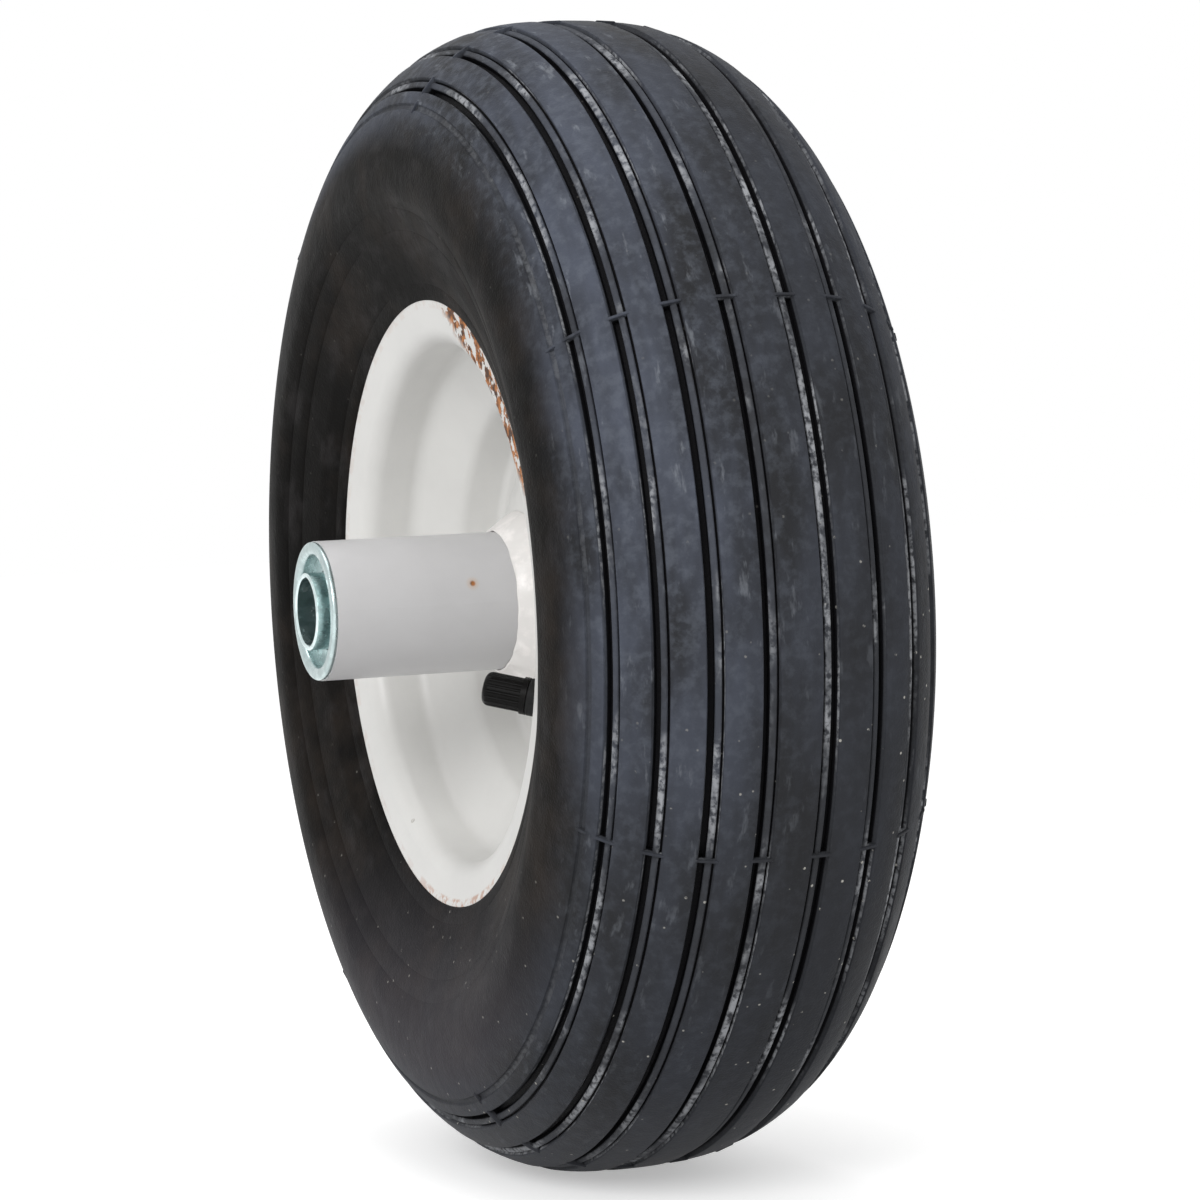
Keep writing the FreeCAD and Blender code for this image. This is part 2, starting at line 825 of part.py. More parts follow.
def valve_cap():
    """Screw cap: hollow, closed at its outer end, with a collar and fine flutes."""
    base = size("stem_length") + size("part_gap")
    bore = barrel_radius + size("cap_gap")
    outer = bore + size("cap_wall")
    top = barrel_end + size("cap_room") + size("cap_end")
    collar = outer + size("cap_collar")
    body = new_body("valve_cap")
    revolve(body, "cap_shell", [
        Corner(bore, base),
        Corner(collar, base),
        Corner(collar, base + size("cap_collar_height")),
        Corner(outer, base + size("cap_collar_height")),
        Corner(outer, top - size("cap_round"), curve=-size("cap_round")),
        Corner(outer - size("cap_round"), top),
        Corner(0, top),
        Corner(0, top - size("cap_end")),
        Corner(bore, top - size("cap_end")),
    ])
    sketch = new_sketch(body, "flute_round", "XZ_Plane")
    flute_across = outer + size("flute_radius") - size("flute_depth")
    ring = sketch.addGeometry(Part.Circle(Vector(flute_across.value, 0, 0), Vector(0, 0, 1),
                                          SIZES["flute_radius"]))
    bind(sketch, "DistanceX", -1, 1, ring, 3, to=flute_across)
    sketch.addConstraint(Sketcher.Constraint("PointOnObject", ring, 3, -1))
    bind(sketch, "Radius", ring, to=size("flute_radius"))
    start = base + size("cap_collar_height")
    sketch.setExpression("AttachmentOffset.Base.z", f"0 - {start.text}")
    flute = body.newObject("PartDesign::Pocket", "flute")
    flute.Profile = sketch
    flute.setExpression("Length", (top - base).text)
    doc.recompute()
    flutes = body.newObject("PartDesign::PolarPattern", "flutes")
    flutes.Originals = [flute]
    flutes.Axis = (sketch, ["N_Axis"])
    flutes.Angle = 360
    flutes.setExpression("Occurrences", size("flute_count").text)
    body.Tip = flutes
    doc.recompute()
    return at_valve(body)


def core_housing():
    """The core's body: a bored plug with a floor that the pin runs through."""
    outer = barrel_bore - size("part_gap")
    bore = core_bore
    hole = size("pin_radius") + size("part_gap") * 2
    floor = core_bottom + size("core_floor")
    outline = [
        Corner(hole, core_bottom),
        Corner(outer, core_bottom),
        Corner(outer, core_top),
        Corner(bore, core_top),
        Corner(bore, floor),
        Corner(hole, floor),
    ]
    return at_valve(turned("core_housing", outline))


def core_pin():
    """The pin that is pressed to let air through: tip, collar, rod and cup in one."""
    rod = size("pin_radius")
    cup_radius = barrel_bore - size("pin_cup_gap")
    cup_top = core_bottom - size("seal_thick") - size("part_gap") * 2
    cup_bottom = cup_top - size("pin_cup_height")
    tip = barrel_end - size("pin_inset")
    outline = [
        Corner(0, cup_bottom - size("pin_tail")),
        Corner(rod, cup_bottom - size("pin_tail")),
        Corner(rod, cup_bottom),
        Corner(cup_radius, cup_bottom),
        Corner(cup_radius, cup_top),
        Corner(rod, cup_top),
        Corner(rod, collar_bottom),
        Corner(pin_collar, collar_bottom),
        Corner(pin_collar, collar_top),
        Corner(rod, collar_top),
        Corner(rod, tip),
        Corner(0, tip),
    ]
    return at_valve(turned("core_pin", outline))


def core_seal():
    """Rubber washer on the pin's cup that closes against the housing's floor."""
    inner = size("pin_radius") + size("part_gap")
    outer = barrel_bore - size("pin_cup_gap")
    top = core_bottom - size("part_gap")
    outline = [
        Corner(inner, top - size("seal_thick")),
        Corner(outer, top - size("seal_thick")),
        Corner(outer, top),
        Corner(inner, top),
    ]
    return at_valve(turned("core_seal", outline))


def core_spring():
    """The core's spring as a plain sleeve between the housing's floor and the pin's collar."""
    outer = core_bore - size("part_gap") * 2
    inner = outer - size("spring_wall")
    floor = core_bottom + size("core_floor")
    outline = [
        Corner(inner, floor + size("part_gap")),
        Corner(outer, floor + size("part_gap")),
        Corner(outer, collar_bottom - size("part_gap")),
        Corner(inner, collar_bottom - size("part_gap")),
    ]
    return at_valve(turned("core_spring", outline))


def tube_with_port():
    """The inner tube with the air hole under the valve's foot."""
    blank = inner_tube()
    blank.Label = "inner_tube_blank"
    pierced = doc.addObject("Part::Cut", "inner_tube_pierced")
    pierced.Base = blank
    deep = size("sheet_gauge") + size("tube_rim_gap") + size("tube_wall") * 2
    pierced.Tool = valve_drill("air_drill", barrel_bore, deep)
    pierced.Label = "inner_tube"
    doc.recompute()
    return pierced


def build():
    """Every sub-part of the wheel, in the order they would be put together."""
    rear = rim_half()
    nodes = [tyre(), tube_with_port(), rear, rim_front(rear), hub_tube()]
    for side, over in (("front", True), ("rear", False)):
        nodes.append(hub_weld(side, over))
        nodes.append(bearing_cup(side, over))
        nodes.append(bearing_shield(side, over))
        nodes.append(bearing_ring(side, over))
        nodes.append(bearing_balls(side, over))
    nodes += [valve_stem(), valve_barrel(), valve_cap()]
    nodes += [core_housing(), core_pin(), core_seal(), core_spring()]
    return nodes


def check(nodes):
    """Stop if a feature failed or a sub-part is not sound."""
    doc.recompute()
    for item in doc.Objects:
        faults = [state for state in item.State if state in ("Invalid", "Error")]
        if faults:
            raise RuntimeError(f"{item.Label} failed: {faults}")
    for node in nodes:
        if node.Shape.isNull() or not node.Shape.isValid():
            raise RuntimeError(f"{node.Label} has no sound shape")


nodes = build()
check(nodes)
os.makedirs("parts", exist_ok=True)
for node in nodes:
    node.Shape.exportStep(os.path.join("parts", f"{node.Label}.step"))
    print(f"{node.Label}: {len(node.Shape.Solids)} solid, {node.Shape.Volume / 1000:.2f} cm3")
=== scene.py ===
# %% [markdown]
# A pneumatic wheelbarrow wheel. The engineering model gives every piece its size and place; this
# lesson dresses it. The wheel stands on its tread, its axle runs along Y, and the side with the
# valve faces -Y. The model arrives in metres, so a millimetre value is scaled where it is used.

# %% Load the engineering model
import math

import bpy
from mathutils import Matrix, Vector


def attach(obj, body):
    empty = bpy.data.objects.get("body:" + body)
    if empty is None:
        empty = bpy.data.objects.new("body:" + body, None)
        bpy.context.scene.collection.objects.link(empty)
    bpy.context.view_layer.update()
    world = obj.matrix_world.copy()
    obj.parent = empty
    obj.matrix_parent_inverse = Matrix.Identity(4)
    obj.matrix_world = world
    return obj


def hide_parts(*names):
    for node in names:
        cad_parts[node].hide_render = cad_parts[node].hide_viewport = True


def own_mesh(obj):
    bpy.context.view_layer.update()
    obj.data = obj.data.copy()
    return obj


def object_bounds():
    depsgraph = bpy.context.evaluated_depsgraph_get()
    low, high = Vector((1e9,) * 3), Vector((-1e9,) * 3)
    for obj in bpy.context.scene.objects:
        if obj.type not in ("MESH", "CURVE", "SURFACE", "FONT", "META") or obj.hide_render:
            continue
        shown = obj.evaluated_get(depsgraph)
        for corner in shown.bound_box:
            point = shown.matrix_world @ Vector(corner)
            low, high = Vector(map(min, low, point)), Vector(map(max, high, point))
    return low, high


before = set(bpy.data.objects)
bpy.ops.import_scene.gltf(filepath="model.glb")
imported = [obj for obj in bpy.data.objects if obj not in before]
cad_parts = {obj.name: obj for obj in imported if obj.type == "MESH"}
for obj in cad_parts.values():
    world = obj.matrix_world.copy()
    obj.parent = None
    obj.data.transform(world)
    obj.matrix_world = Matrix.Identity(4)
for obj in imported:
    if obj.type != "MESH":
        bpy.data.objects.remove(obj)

MM = 0.001
cad_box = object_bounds()
bpy.ops.object.select_all(action="DESELECT")
print("pieces of the engineering model:", len(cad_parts))

# %% [markdown]
# Almost everything on a wheel is turned, so one helper does most of the modelling. It works like a
# pencil and a lathe: a small plane is merged to one vertex, the vertex is extruded from point to
# point to draw half a cross-section, and Spin turns that line about the axle. Points are written
# as (distance from the axle, distance along it), both in millimetres, as on a workshop drawing.

# %% Helpers to draw and turn a section
SMOOTH_ANGLE = math.radians(32)
SAME_PLACE = 0.000002
NEARLY_STRAIGHT = math.radians(88)


def start_edit():
    """Enter edit mode with points ready to be selected."""
    bpy.ops.object.mode_set(mode="EDIT")
    bpy.ops.mesh.select_mode(type="VERT")


def finish_edit():
    """Go back to object mode, which completes the mesh."""
    bpy.ops.object.mode_set(mode="OBJECT")


def pencil(name, point):
    """A new mesh of one vertex at the first point of a section."""
    bpy.ops.mesh.primitive_plane_add(size=0.001, location=(0, 0, 0))
    piece = bpy.context.object
    piece.name = name
    piece.data.name = name
    start_edit()
    bpy.ops.mesh.merge(type="CENTER")
    bpy.ops.transform.translate(value=(point[0] * MM, point[1] * MM, 0))
    return piece


def draw_to(start, points):
    """Extrude the selected vertex through the points, one after another."""
    last = start
    for point in points:
        step = ((point[0] - last[0]) * MM, (point[1] - last[1]) * MM, 0)
        bpy.ops.mesh.extrude_region_move(TRANSFORM_OT_translate={"value": step})
        last = point


def close_up():
    """Merge what lies on one place and turn every face outwards."""
    bpy.ops.mesh.select_all(action="SELECT")
    bpy.ops.mesh.remove_doubles(threshold=SAME_PLACE)
    bpy.ops.mesh.normals_make_consistent(inside=False)
    finish_edit()


def turn(name, section, steps):
    """Draw a closed section and spin it once round the axle into a piece."""
    piece = pencil(name, section[0])
    draw_to(section[0], section[1:] + section[:1])
    bpy.ops.mesh.select_all(action="SELECT")
    bpy.ops.mesh.remove_doubles(threshold=SAME_PLACE)
    bpy.ops.mesh.spin(steps=steps, angle=math.tau, center=(0, 0, 0), axis=(0, 1, 0))
    close_up()
    bpy.ops.object.shade_smooth_by_angle(angle=SMOOTH_ANGLE)
    piece.select_set(False)
    print(name, "has", len(piece.data.polygons), "faces")
    return piece


def arc(centre, radius, start, end, steps):
    """Points of an arc in the section, from one angle to another in degrees."""
    points = []
    for i in range(steps + 1):
        angle = math.radians(start + (end - start) * i / steps)
        points.append((centre[0] + radius * math.cos(angle), centre[1] + radius * math.sin(angle)))
    return points


def rounded(points, radii, steps):
    """Round the corners of an open line of points, each with its own radius."""
    line = [points[0]]
    for before, here, after, radius in zip(points, points[1:], points[2:], radii):
        corner = Vector(here)
        back = (Vector(before) - corner).normalized()
        ahead = (Vector(after) - corner).normalized()
        half = back.angle(ahead) / 2
        if radius <= 0 or half > NEARLY_STRAIGHT:
            line.append(here)
            continue
        setback = radius / math.tan(half)
        centre = corner + (back + ahead).normalized() * radius / math.sin(half)
        first = corner + back * setback - centre
        last = corner + ahead * setback - centre
        sweep = first.angle_signed(last)
        for i in range(steps + 1):
            swing = Matrix.Rotation(-sweep * i / steps, 2)
            line.append(tuple(centre + swing @ first))
    line.append(points[-1])
    return line


def mirrored(points):
    """The same section on the other side of the wheel's middle plane."""
    return [(across, -along) for across, along in points]


def beside(points, shift):
    """The line that runs beside a line of points, so far to its left."""
    normals = []
    for here, after in zip(points, points[1:]):
        way = (Vector(after) - Vector(here)).normalized()
        normals.append(Vector((-way.y, way.x)) * shift)
    normals = [normals[0]] + normals + [normals[-1]]
    line = []
    for point, before, after in zip(points, normals, normals[1:]):
        mitre = shift ** 2 / (shift ** 2 + before.dot(after))
        line.append(tuple(Vector(point) + (before + after) * mitre))
    return line


# %% [markdown]
# Rubber, paint and zinc all show the same few effects: blotches of a slightly different tone, small
# specks, and a fine grain in the surface. Each effect is built once as a node group with named
# inputs and outputs, and each material then places it with its own values. Sizes go in as
# millimetres, since that is how one thinks of grain or dust on a part this small.

# %% Helpers for node trees
def feed(tree, socket, value):
    """Give a socket a link if the value is a socket, and otherwise a plain value."""
    if isinstance(value, bpy.types.NodeSocket):
        tree.links.new(value, socket)
    elif isinstance(value, (tuple, list)) and len(value) == 3 and len(socket.default_value) == 4:
        socket.default_value = (*value, 1)
    else:
        socket.default_value = value


def calculate(tree, operation, first, second=0.0, third=0.0):
    """One step of arithmetic on numbers."""
    node = tree.nodes.new("ShaderNodeMath")
    node.operation = operation
    for socket, value in zip(node.inputs, (first, second, third)):
        feed(tree, socket, value)
    return node.outputs[0]


def times(tree, first, second):
    """One number multiplied by another."""
    return calculate(tree, "MULTIPLY", first, second)


def combine(tree, operation, first, second=(0.0, 0.0, 0.0)):
    """One step of arithmetic on vectors."""
    node = tree.nodes.new("ShaderNodeVectorMath")
    node.operation = operation
    feed(tree, node.inputs[0], first)
    if operation == "SCALE":
        feed(tree, node.inputs["Scale"], second)
    else:
        feed(tree, node.inputs[1], second)
    return node.outputs["Value" if operation in ("LENGTH", "DISTANCE", "DOT_PRODUCT") else "Vector"]


def ramp(tree, value, low, high, start=0.0, end=1.0):
    """A smooth step of a value from low to high."""
    node = tree.nodes.new("ShaderNodeMapRange")
    node.interpolation_type = "SMOOTHSTEP"
    for socket, given in zip(node.inputs, (value, low, high, start, end)):
        feed(tree, socket, given)
    return node.outputs["Result"]


def mix(tree, share, first, second):
    """Blend two colours by a share."""
    node = tree.nodes.new("ShaderNodeMix")
    node.data_type = "RGBA"
    feed(tree, node.inputs["Factor"], share)
    feed(tree, node.inputs[6], first)
    feed(tree, node.inputs[7], second)
    return node.outputs[2]


def noise(tree, vector, scale, detail, roughness=0.5):
    """Fractal noise, as a number near 0.5 that wanders between 0 and 1."""
    node = tree.nodes.new("ShaderNodeTexNoise")
    for name, value in (("Vector", vector), ("Scale", scale), ("Detail", detail), ("Roughness", roughness)):
        feed(tree, node.inputs[name], value)
    return node.outputs["Fac"]


def new_group(name, inputs, outputs):
    """An empty effect with named sockets."""
    group = bpy.data.node_groups.new(name, "ShaderNodeTree")
    for label, kind in inputs:
        group.interface.new_socket(label, in_out="INPUT", socket_type=kind)
    for label, kind in outputs:
        group.interface.new_socket(label, in_out="OUTPUT", socket_type=kind)
    given = group.nodes.new("NodeGroupInput")
    result = group.nodes.new("NodeGroupOutput")
    return group, given.outputs, result.inputs


def place_group(tree, group, **values):
    """Put an effect in a material and feed its inputs by name."""
    node = tree.nodes.new("ShaderNodeGroup")
    node.node_tree = group
    for label, value in values.items():
        feed(tree, node.inputs[label.replace("_", " ")], value)
    return node.outputs


NUMBER, VECTOR = "NodeSocketFloat", "NodeSocketVector"

# %% [markdown]
# Patches are soft-edged areas cut out of a noise. Specks are the middles of Voronoi cells, of which
# only a share is kept. Grain adds a coarse noise to a fine one and is read as a height.

# %% Blotches, specks and grain
PER_METRE = 1000.0

patches, given, result = new_group(
    "patches", (("Place", VECTOR), ("Size", NUMBER), ("Low", NUMBER), ("High", NUMBER)), (("Mask", NUMBER),))
patch_scale = calculate(patches, "DIVIDE", PER_METRE, given["Size"])
patch_noise = noise(patches, given["Place"], patch_scale, 4.0, 0.6)
feed(patches, result["Mask"], ramp(patches, patch_noise, given["Low"], given["High"]))

specks, given, result = new_group(
    "specks", (("Place", VECTOR), ("Spacing", NUMBER), ("Size", NUMBER), ("Share", NUMBER)),
    (("Mask", NUMBER),))
cells = specks.nodes.new("ShaderNodeTexVoronoi")
feed(specks, cells.inputs["Vector"], given["Place"])
feed(specks, cells.inputs["Scale"], calculate(specks, "DIVIDE", PER_METRE, given["Spacing"]))
lot = specks.nodes.new("ShaderNodeSeparateColor")
feed(specks, lot.inputs[0], cells.outputs["Color"])
reach = calculate(specks, "DIVIDE", given["Size"], given["Spacing"])
dot = ramp(specks, cells.outputs["Distance"], reach, times(specks, reach, 0.5))
chosen = calculate(specks, "LESS_THAN", lot.outputs[0], given["Share"])
uneven = noise(specks, given["Place"], 1400.0, 2.0)
ragged = times(specks, dot, ramp(specks, uneven, 0.38, 0.5))
feed(specks, result["Mask"], times(specks, ragged, chosen))

grain, given, result = new_group(
    "grain", (("Place", VECTOR), ("Fine", NUMBER), ("Coarse", NUMBER), ("Balance", NUMBER)),
    (("Height", NUMBER),))
fine = noise(grain, given["Place"], calculate(grain, "DIVIDE", PER_METRE, given["Fine"]), 3.0)
coarse = noise(grain, given["Place"], calculate(grain, "DIVIDE", PER_METRE, given["Coarse"]), 2.0)
share = times(grain, coarse, given["Balance"])
feed(grain, result["Height"], calculate(grain, "ADD", fine, share))


def blotches(tree, place, size, low, high):
    """A mask of patches; a higher low leaves fewer of them, and a nearer high sharpens their edges."""
    return place_group(tree, patches, Place=place, Size=size, Low=low, High=high)["Mask"]


def dots(tree, place, spacing, size, share):
    """A mask of small specks."""
    return place_group(tree, specks, Place=place, Spacing=spacing, Size=size, Share=share)["Mask"]


# %% [markdown]
# On a turned part it helps to know how far a point lies from the axle, how far along it, and how
# far round. These three come from the Object coordinates, which are the same for every piece here
# because each object sits at the wheel's centre. "Streak" holds a place that is drawn out along
# the way the wheel rolls, for scuffs and dust that run round the tyre. "Depth" says how far a point
# lies under the tread's skin, so that a groove's slots can be darkened with painted shade while its
# ridge gets dust and a painted highlight. The skin is two arcs, each written as its centre's distance
# from the axle, its centre's distance along the axle and its curve, here in metres.

# %% Places on a turned part
ROLL_RADIUS = 0.16
CROWN_ARC = (-0.0013, 0.0, 0.1663)
SHOULDER_ARC = (0.121, 0.0099, 0.0436)
CROWN_END = 0.0134

wheel_place, given, result = new_group(
    "wheel place", (("Place", VECTOR), ("Stretch", NUMBER)),
    (("Radius", NUMBER), ("Side", NUMBER), ("Streak", VECTOR), ("Depth", NUMBER)))
parts = wheel_place.nodes.new("ShaderNodeSeparateXYZ")
feed(wheel_place, parts.inputs[0], given["Place"])
flat_place = wheel_place.nodes.new("ShaderNodeCombineXYZ")
feed(wheel_place, flat_place.inputs[0], parts.outputs[0])
feed(wheel_place, flat_place.inputs[2], parts.outputs[2])
radius = combine(wheel_place, "LENGTH", flat_place.outputs[0])
side = calculate(wheel_place, "ABSOLUTE", parts.outputs[1])
feed(wheel_place, result["Radius"], radius)
feed(wheel_place, result["Side"], side)
angle = calculate(wheel_place, "ARCTAN2", parts.outputs[2], parts.outputs[0])
run = calculate(wheel_place, "DIVIDE", times(wheel_place, angle, ROLL_RADIUS), given["Stretch"])
streak = wheel_place.nodes.new("ShaderNodeCombineXYZ")
feed(wheel_place, streak.inputs[0], run)
feed(wheel_place, streak.inputs[1], parts.outputs[1])
feed(wheel_place, streak.inputs[2], radius)
feed(wheel_place, result["Streak"], streak.outputs[0])


def depth_in(skin_arc):
    """How deep a point lies inside an arc of the tyre's section."""
    centre_radius, centre_side, curve = skin_arc
    spot_in_section = wheel_place.nodes.new("ShaderNodeCombineXYZ")
    feed(wheel_place, spot_in_section.inputs[0], radius)
    feed(wheel_place, spot_in_section.inputs[1], side)
    away = combine(wheel_place, "DISTANCE", spot_in_section.outputs[0], (centre_radius, centre_side, 0))
    return calculate(wheel_place, "SUBTRACT", curve, away)


past_crown = calculate(wheel_place, "GREATER_THAN", side, CROWN_END)
shoulder_depth = times(wheel_place, depth_in(SHOULDER_ARC), past_crown)
on_crown = calculate(wheel_place, "SUBTRACT", 1.0, past_crown)
crown_depth = times(wheel_place, depth_in(CROWN_ARC), on_crown)
feed(wheel_place, result["Depth"], calculate(wheel_place, "ADD", shoulder_depth, crown_depth))


def new_material(name):
    """A material with a Principled shader and the piece's own coordinates."""
    material = bpy.data.materials.new(name)
    material.use_nodes = True
    tree = material.node_tree
    place = tree.nodes.new("ShaderNodeTexCoord").outputs["Object"]
    return material, tree, tree.nodes["Principled BSDF"].inputs, place


def raise_surface(tree, shader, height, depth, strength=1.0):
    """Let a height change the way the surface catches light; depth is in millimetres."""
    bump = tree.nodes.new("ShaderNodeBump")
    bump.inputs["Strength"].default_value = strength
    bump.inputs["Distance"].default_value = depth * MM
    feed(tree, bump.inputs["Height"], height)
    tree.links.new(bump.outputs[0], shader["Normal"])


# %% [markdown]
# Tyre rubber is nearly black. The tread is dusty and scuffed along the way it rolls, with a painted
# bluish sheen on its upper side towards the valve, where the light falls; the sidewall is blacker
# and browner, with a bloom of dry dust. In the grooves the slots are darkened with painted shade,
# and the ridges are lightened with dust and a painted highlight, with broken chalk on them. Small
# pale crumbs sit in the tread, mostly low on the side away from the valve.

# %% Colours of the rubber
# The blue tread tone is dust with a painted sheen.
TREAD_BLACK, TREAD_BLUE_DUST_AND_SHEEN, TREAD_LOW = (0.0210, 0.0215, 0.0235), (0.072, 0.081, 0.106), (0.062, 0.064, 0.072)
MOTTLE_GREY, SCUFF_GREY = (0.110, 0.122, 0.146), (0.21, 0.225, 0.25)
WALL_BLACK, WALL_BLOOM = (0.0045, 0.0041, 0.0038), (0.024, 0.0185, 0.0150)
WALL_RUBBED, WALL_LOW = (0.040, 0.037, 0.038), (0.060, 0.056, 0.066)
# The slot black is painted shade; the ridge grey is dust with a painted highlight.
SLOT_SHADE_BLACK, RIDGE_DUST_AND_HIGHLIGHT = (0.006, 0.006, 0.007), (0.045, 0.047, 0.052)
CHALK_WHITE, CRUMB_WHITE = (0.36, 0.37, 0.39), (0.36, 0.35, 0.32)
UP, DOWN, VALVE_SIDE, LOW_AND_FAR = (0.0, 0.0, 1.0), (0.0, 0.0, -1.0), (0.0, -1.0, 0.0), (0.0, 8.0, -5.0)

# %% [markdown]
# A dot product with a direction tells how far a point lies that way, in metres where the direction
# has a length of 1. A smooth step of that number fades an effect across the wheel.

# %% Rubber
rubber, tree, shader, place = new_material("tyre rubber")
there = place_group(tree, wheel_place, Place=place, Stretch=3.0)
# The upper side towards the valve, where the light falls, gets a painted sheen; the blue dust, mottle and
# scuffs fade with it.
valve_half = ramp(tree, combine(tree, "DOT_PRODUCT", place, VALVE_SIDE), -0.020, 0.035, 0.30, 1.0)
upper_half = ramp(tree, combine(tree, "DOT_PRODUCT", place, UP), -0.10, 0.03, 0.35, 1.0)
sheen_and_handling = times(tree, valve_half, upper_half)


def dust_and_sheen(mask, most):
    """A mask that fades away from the upper valve side, where the painted sheen lies with the dust."""
    return times(tree, times(tree, mask, most), sheen_and_handling)


broad = blotches(tree, there["Streak"], size=24.0, low=0.34, high=0.68)
mottled = blotches(tree, place, size=3.4, low=0.42, high=0.70)
scuffed = blotches(tree, there["Streak"], size=4.2, low=0.60, high=0.72)
# Bluish dust and painted sheen over the black tread.
tread = mix(tree, dust_and_sheen(broad, 0.85), TREAD_BLACK, TREAD_BLUE_DUST_AND_SHEEN)
tread = mix(tree, dust_and_sheen(mottled, 0.34), tread, MOTTLE_GREY)
tread = mix(tree, dust_and_sheen(scuffed, 0.45), tread, SCUFF_GREY)

bloom = blotches(tree, place, size=34.0, low=0.42, high=0.70)
rubbed = blotches(tree, there["Streak"], size=9.0, low=0.50, high=0.72)
sidewall = mix(tree, times(tree, bloom, 0.6), WALL_BLACK, WALL_BLOOM)
sidewall = mix(tree, times(tree, rubbed, 0.3), sidewall, WALL_RUBBED)
low_down = ramp(tree, combine(tree, "DOT_PRODUCT", place, DOWN), 0.06, 0.15)
sidewall = mix(tree, times(tree, low_down, 0.6), sidewall, WALL_LOW)
lowest = ramp(tree, combine(tree, "DOT_PRODUCT", place, DOWN), 0.12, 0.16, 0.0, 0.5)
tread = mix(tree, lowest, tread, TREAD_LOW)
colour = mix(tree, ramp(tree, there["Radius"], 0.128, 0.146), sidewall, tread)

in_groove = times(tree, ramp(tree, there["Depth"], 0.0003, 0.0006),
                      ramp(tree, there["Radius"], 0.126, 0.130))
above_slot = ramp(tree, there["Depth"], 0.0016, 0.0011)
ridge = times(tree, in_groove, above_slot)
chalky = blotches(tree, there["Streak"], size=15.0, low=0.47, high=0.62)
broken = blotches(tree, place, size=2.0, low=0.36, high=0.60)
inside_line = ramp(tree, there["Side"], 0.0472, 0.0464, 0.12, 0.7)
chalk = times(tree, times(tree, chalky, broken), inside_line)
# Ridges get dust and a painted highlight.
colour = mix(tree, times(tree, ridge, 0.35), colour, RIDGE_DUST_AND_HIGHLIGHT)
# Slots are darkened with painted shade.
colour = mix(tree, calculate(tree, "SUBTRACT", in_groove, ridge), colour, SLOT_SHADE_BLACK)
colour = mix(tree, times(tree, ridge, chalk), colour, CHALK_WHITE)

crumbs = dots(tree, place, spacing=3.4, size=0.5, share=0.22)
far_half = ramp(tree, combine(tree, "DOT_PRODUCT", place, LOW_AND_FAR), -0.3, 0.5, 0.10, 1.0)
colour = mix(tree, times(tree, crumbs, far_half), colour, CRUMB_WHITE)
feed(tree, shader["Base Color"], colour)
feed(tree, shader["Roughness"], calculate(tree, "MULTIPLY_ADD", broad, 0.10, 0.48))
shader["Specular IOR Level"].default_value = 0.035
surface = place_group(tree, grain, Place=place, Fine=0.7, Coarse=6.0, Balance=1.6)["Height"]
raise_surface(tree, shader, surface, 0.25, 0.8)

# %% [markdown]
# The rim is pressed steel under pale grey gloss paint. The paint is not quite even: it has a soft
# orange-peel ripple, a faint warm grime and a few dark specks. On the lip, where the tyre was
# levered on, it is chipped through to orange rust, worst on the upper side next to the camera.
# The hub has one small chip with a rusty halo, and the weld is paler and chalky: dust, and a painted
# highlight.

# %% Colours of the paint
# The weld's paler grey and its chalk are dust and a painted highlight.
RIM_GREY, HUB_GREY, WELD_GREY = (0.615, 0.610, 0.592), (0.545, 0.540, 0.545), (0.70, 0.68, 0.66)
WELD_CHALK_AND_HIGHLIGHT, GRIME_BROWN = (0.80, 0.77, 0.75), (0.16, 0.13, 0.10)
RUST_DARK, RUST_ORANGE = (0.045, 0.016, 0.006), (0.41, 0.150, 0.036)
RUST_STAIN, RUST_HALO = (0.40, 0.20, 0.12), (0.55, 0.33, 0.16)
CHIPPED_SIDE, LOWER_SIDE = (0.67, 0.0, 0.74), (0.10, 0.0, -0.99)
HUB_CHIP = (19.0, -36.0, 5.6)
GLOSS = 0.36

# %% [markdown]
# One function makes the paint that the three painted parts share and hands back its colour, so
# that each part can lay its own wear over it before the colour is fed to the shader.

# %% Paint for the rim and hub
def rust_over(tree, colour, mask, place):
    """Lay mottled orange and brown rust over a colour."""
    tone = blotches(tree, place, size=2.8, low=0.40, high=0.60)
    rust = mix(tree, tone, RUST_DARK, RUST_ORANGE)
    return mix(tree, mask, colour, rust)


def spot(tree, place, where, size):
    """A round mask at one place of the wheel, given in millimetres."""
    away = combine(tree, "DISTANCE", place, tuple(value * MM for value in where))
    return ramp(tree, away, size * MM, size * 0.35 * MM)


def paint(name, tone, grime):
    """Pale gloss paint of one tone; the caller adds its own wear."""
    material, tree, shader, place = new_material(name)
    cloudy = blotches(tree, place, size=34.0, low=0.35, high=0.75)
    colour = mix(tree, times(tree, cloudy, grime), tone, tuple(value * 0.86 for value in tone))
    dark = dots(tree, place, spacing=14.0, size=0.9, share=0.12)
    colour = mix(tree, times(tree, dark, 0.6), colour, GRIME_BROWN)
    ripple = place_group(tree, grain, Place=place, Fine=1.6, Coarse=9.0, Balance=2.0)["Height"]
    raise_surface(tree, shader, ripple, 0.12, 0.35)
    shader["Roughness"].default_value = GLOSS
    return material, tree, shader, place, colour


